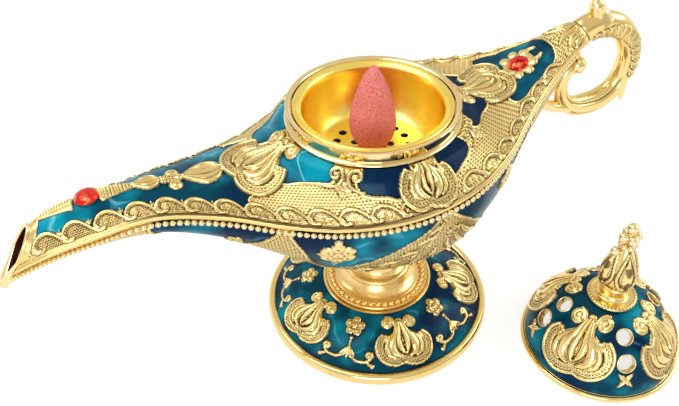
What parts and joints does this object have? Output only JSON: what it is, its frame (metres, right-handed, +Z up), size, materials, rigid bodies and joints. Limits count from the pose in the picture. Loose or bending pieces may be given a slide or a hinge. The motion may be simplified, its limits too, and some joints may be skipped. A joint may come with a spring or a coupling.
{
  "type": "genie lamp incense burner",
  "caption": "Footed oil-lamp incense burner with a spout, a loop handle, a lift-out cup with an incense cone, and a pierced domed lid standing beside it.",
  "frame": {"origin": "centre of the foot's felt underside, on the surface the lamp stands on", "axes": "+Z up through the stem, +X along the lamp from the spout towards the handle, +Y to the side away from the lid"},
  "size_m": [0.2016, 0.1109, 0.0983],
  "materials": {
    "polished_gold_plate": "polished gold plating",
    "satin_gold_plate": "satin gold plating",
    "teal_enamel": "glossy teal enamel over cast metal",
    "red_glass_gem": "faceted and polished",
    "pink_incense": "dry pressed powder",
    "zinc_plated_steel": "zinc plated",
    "black_felt": "felt"
  },
  "bodies": {
    "lamp": {"base_pad": "black_felt", "foot": "teal_enamel", "stem": "satin_gold_plate", "stem_bolt": "zinc_plated_steel", "bolt_washer": "zinc_plated_steel", "stem_nut": "zinc_plated_steel", "lower_shell": "teal_enamel", "upper_shell": "polished_gold_plate", "collar": "polished_gold_plate", "spout_gem": "red_glass_gem", "tail_gem": "red_glass_gem", "handle": "polished_gold_plate"},
    "cup": {"incense_cup": "satin_gold_plate"},
    "cone": {"incense_cone": "pink_incense"},
    "lid": {"lid": "teal_enamel", "finial": "polished_gold_plate", "finial_screw": "zinc_plated_steel"}
  },
  "joints": [
    {"name": "cup_lift", "type": "slide", "parent": "lamp", "child": "cup", "axis": [0, 0, 1], "range_m": [0, 0.05]},
    {"name": "cone_lift", "type": "slide", "parent": "cup", "child": "cone", "axis": [0, 0, 1], "range_m": [0, 0.06]},
    {"name": "lid_lift", "type": "slide", "parent": "lamp", "child": "lid", "axis": [0, 0, 1], "range_m": [0, 0.1]}
  ]
}
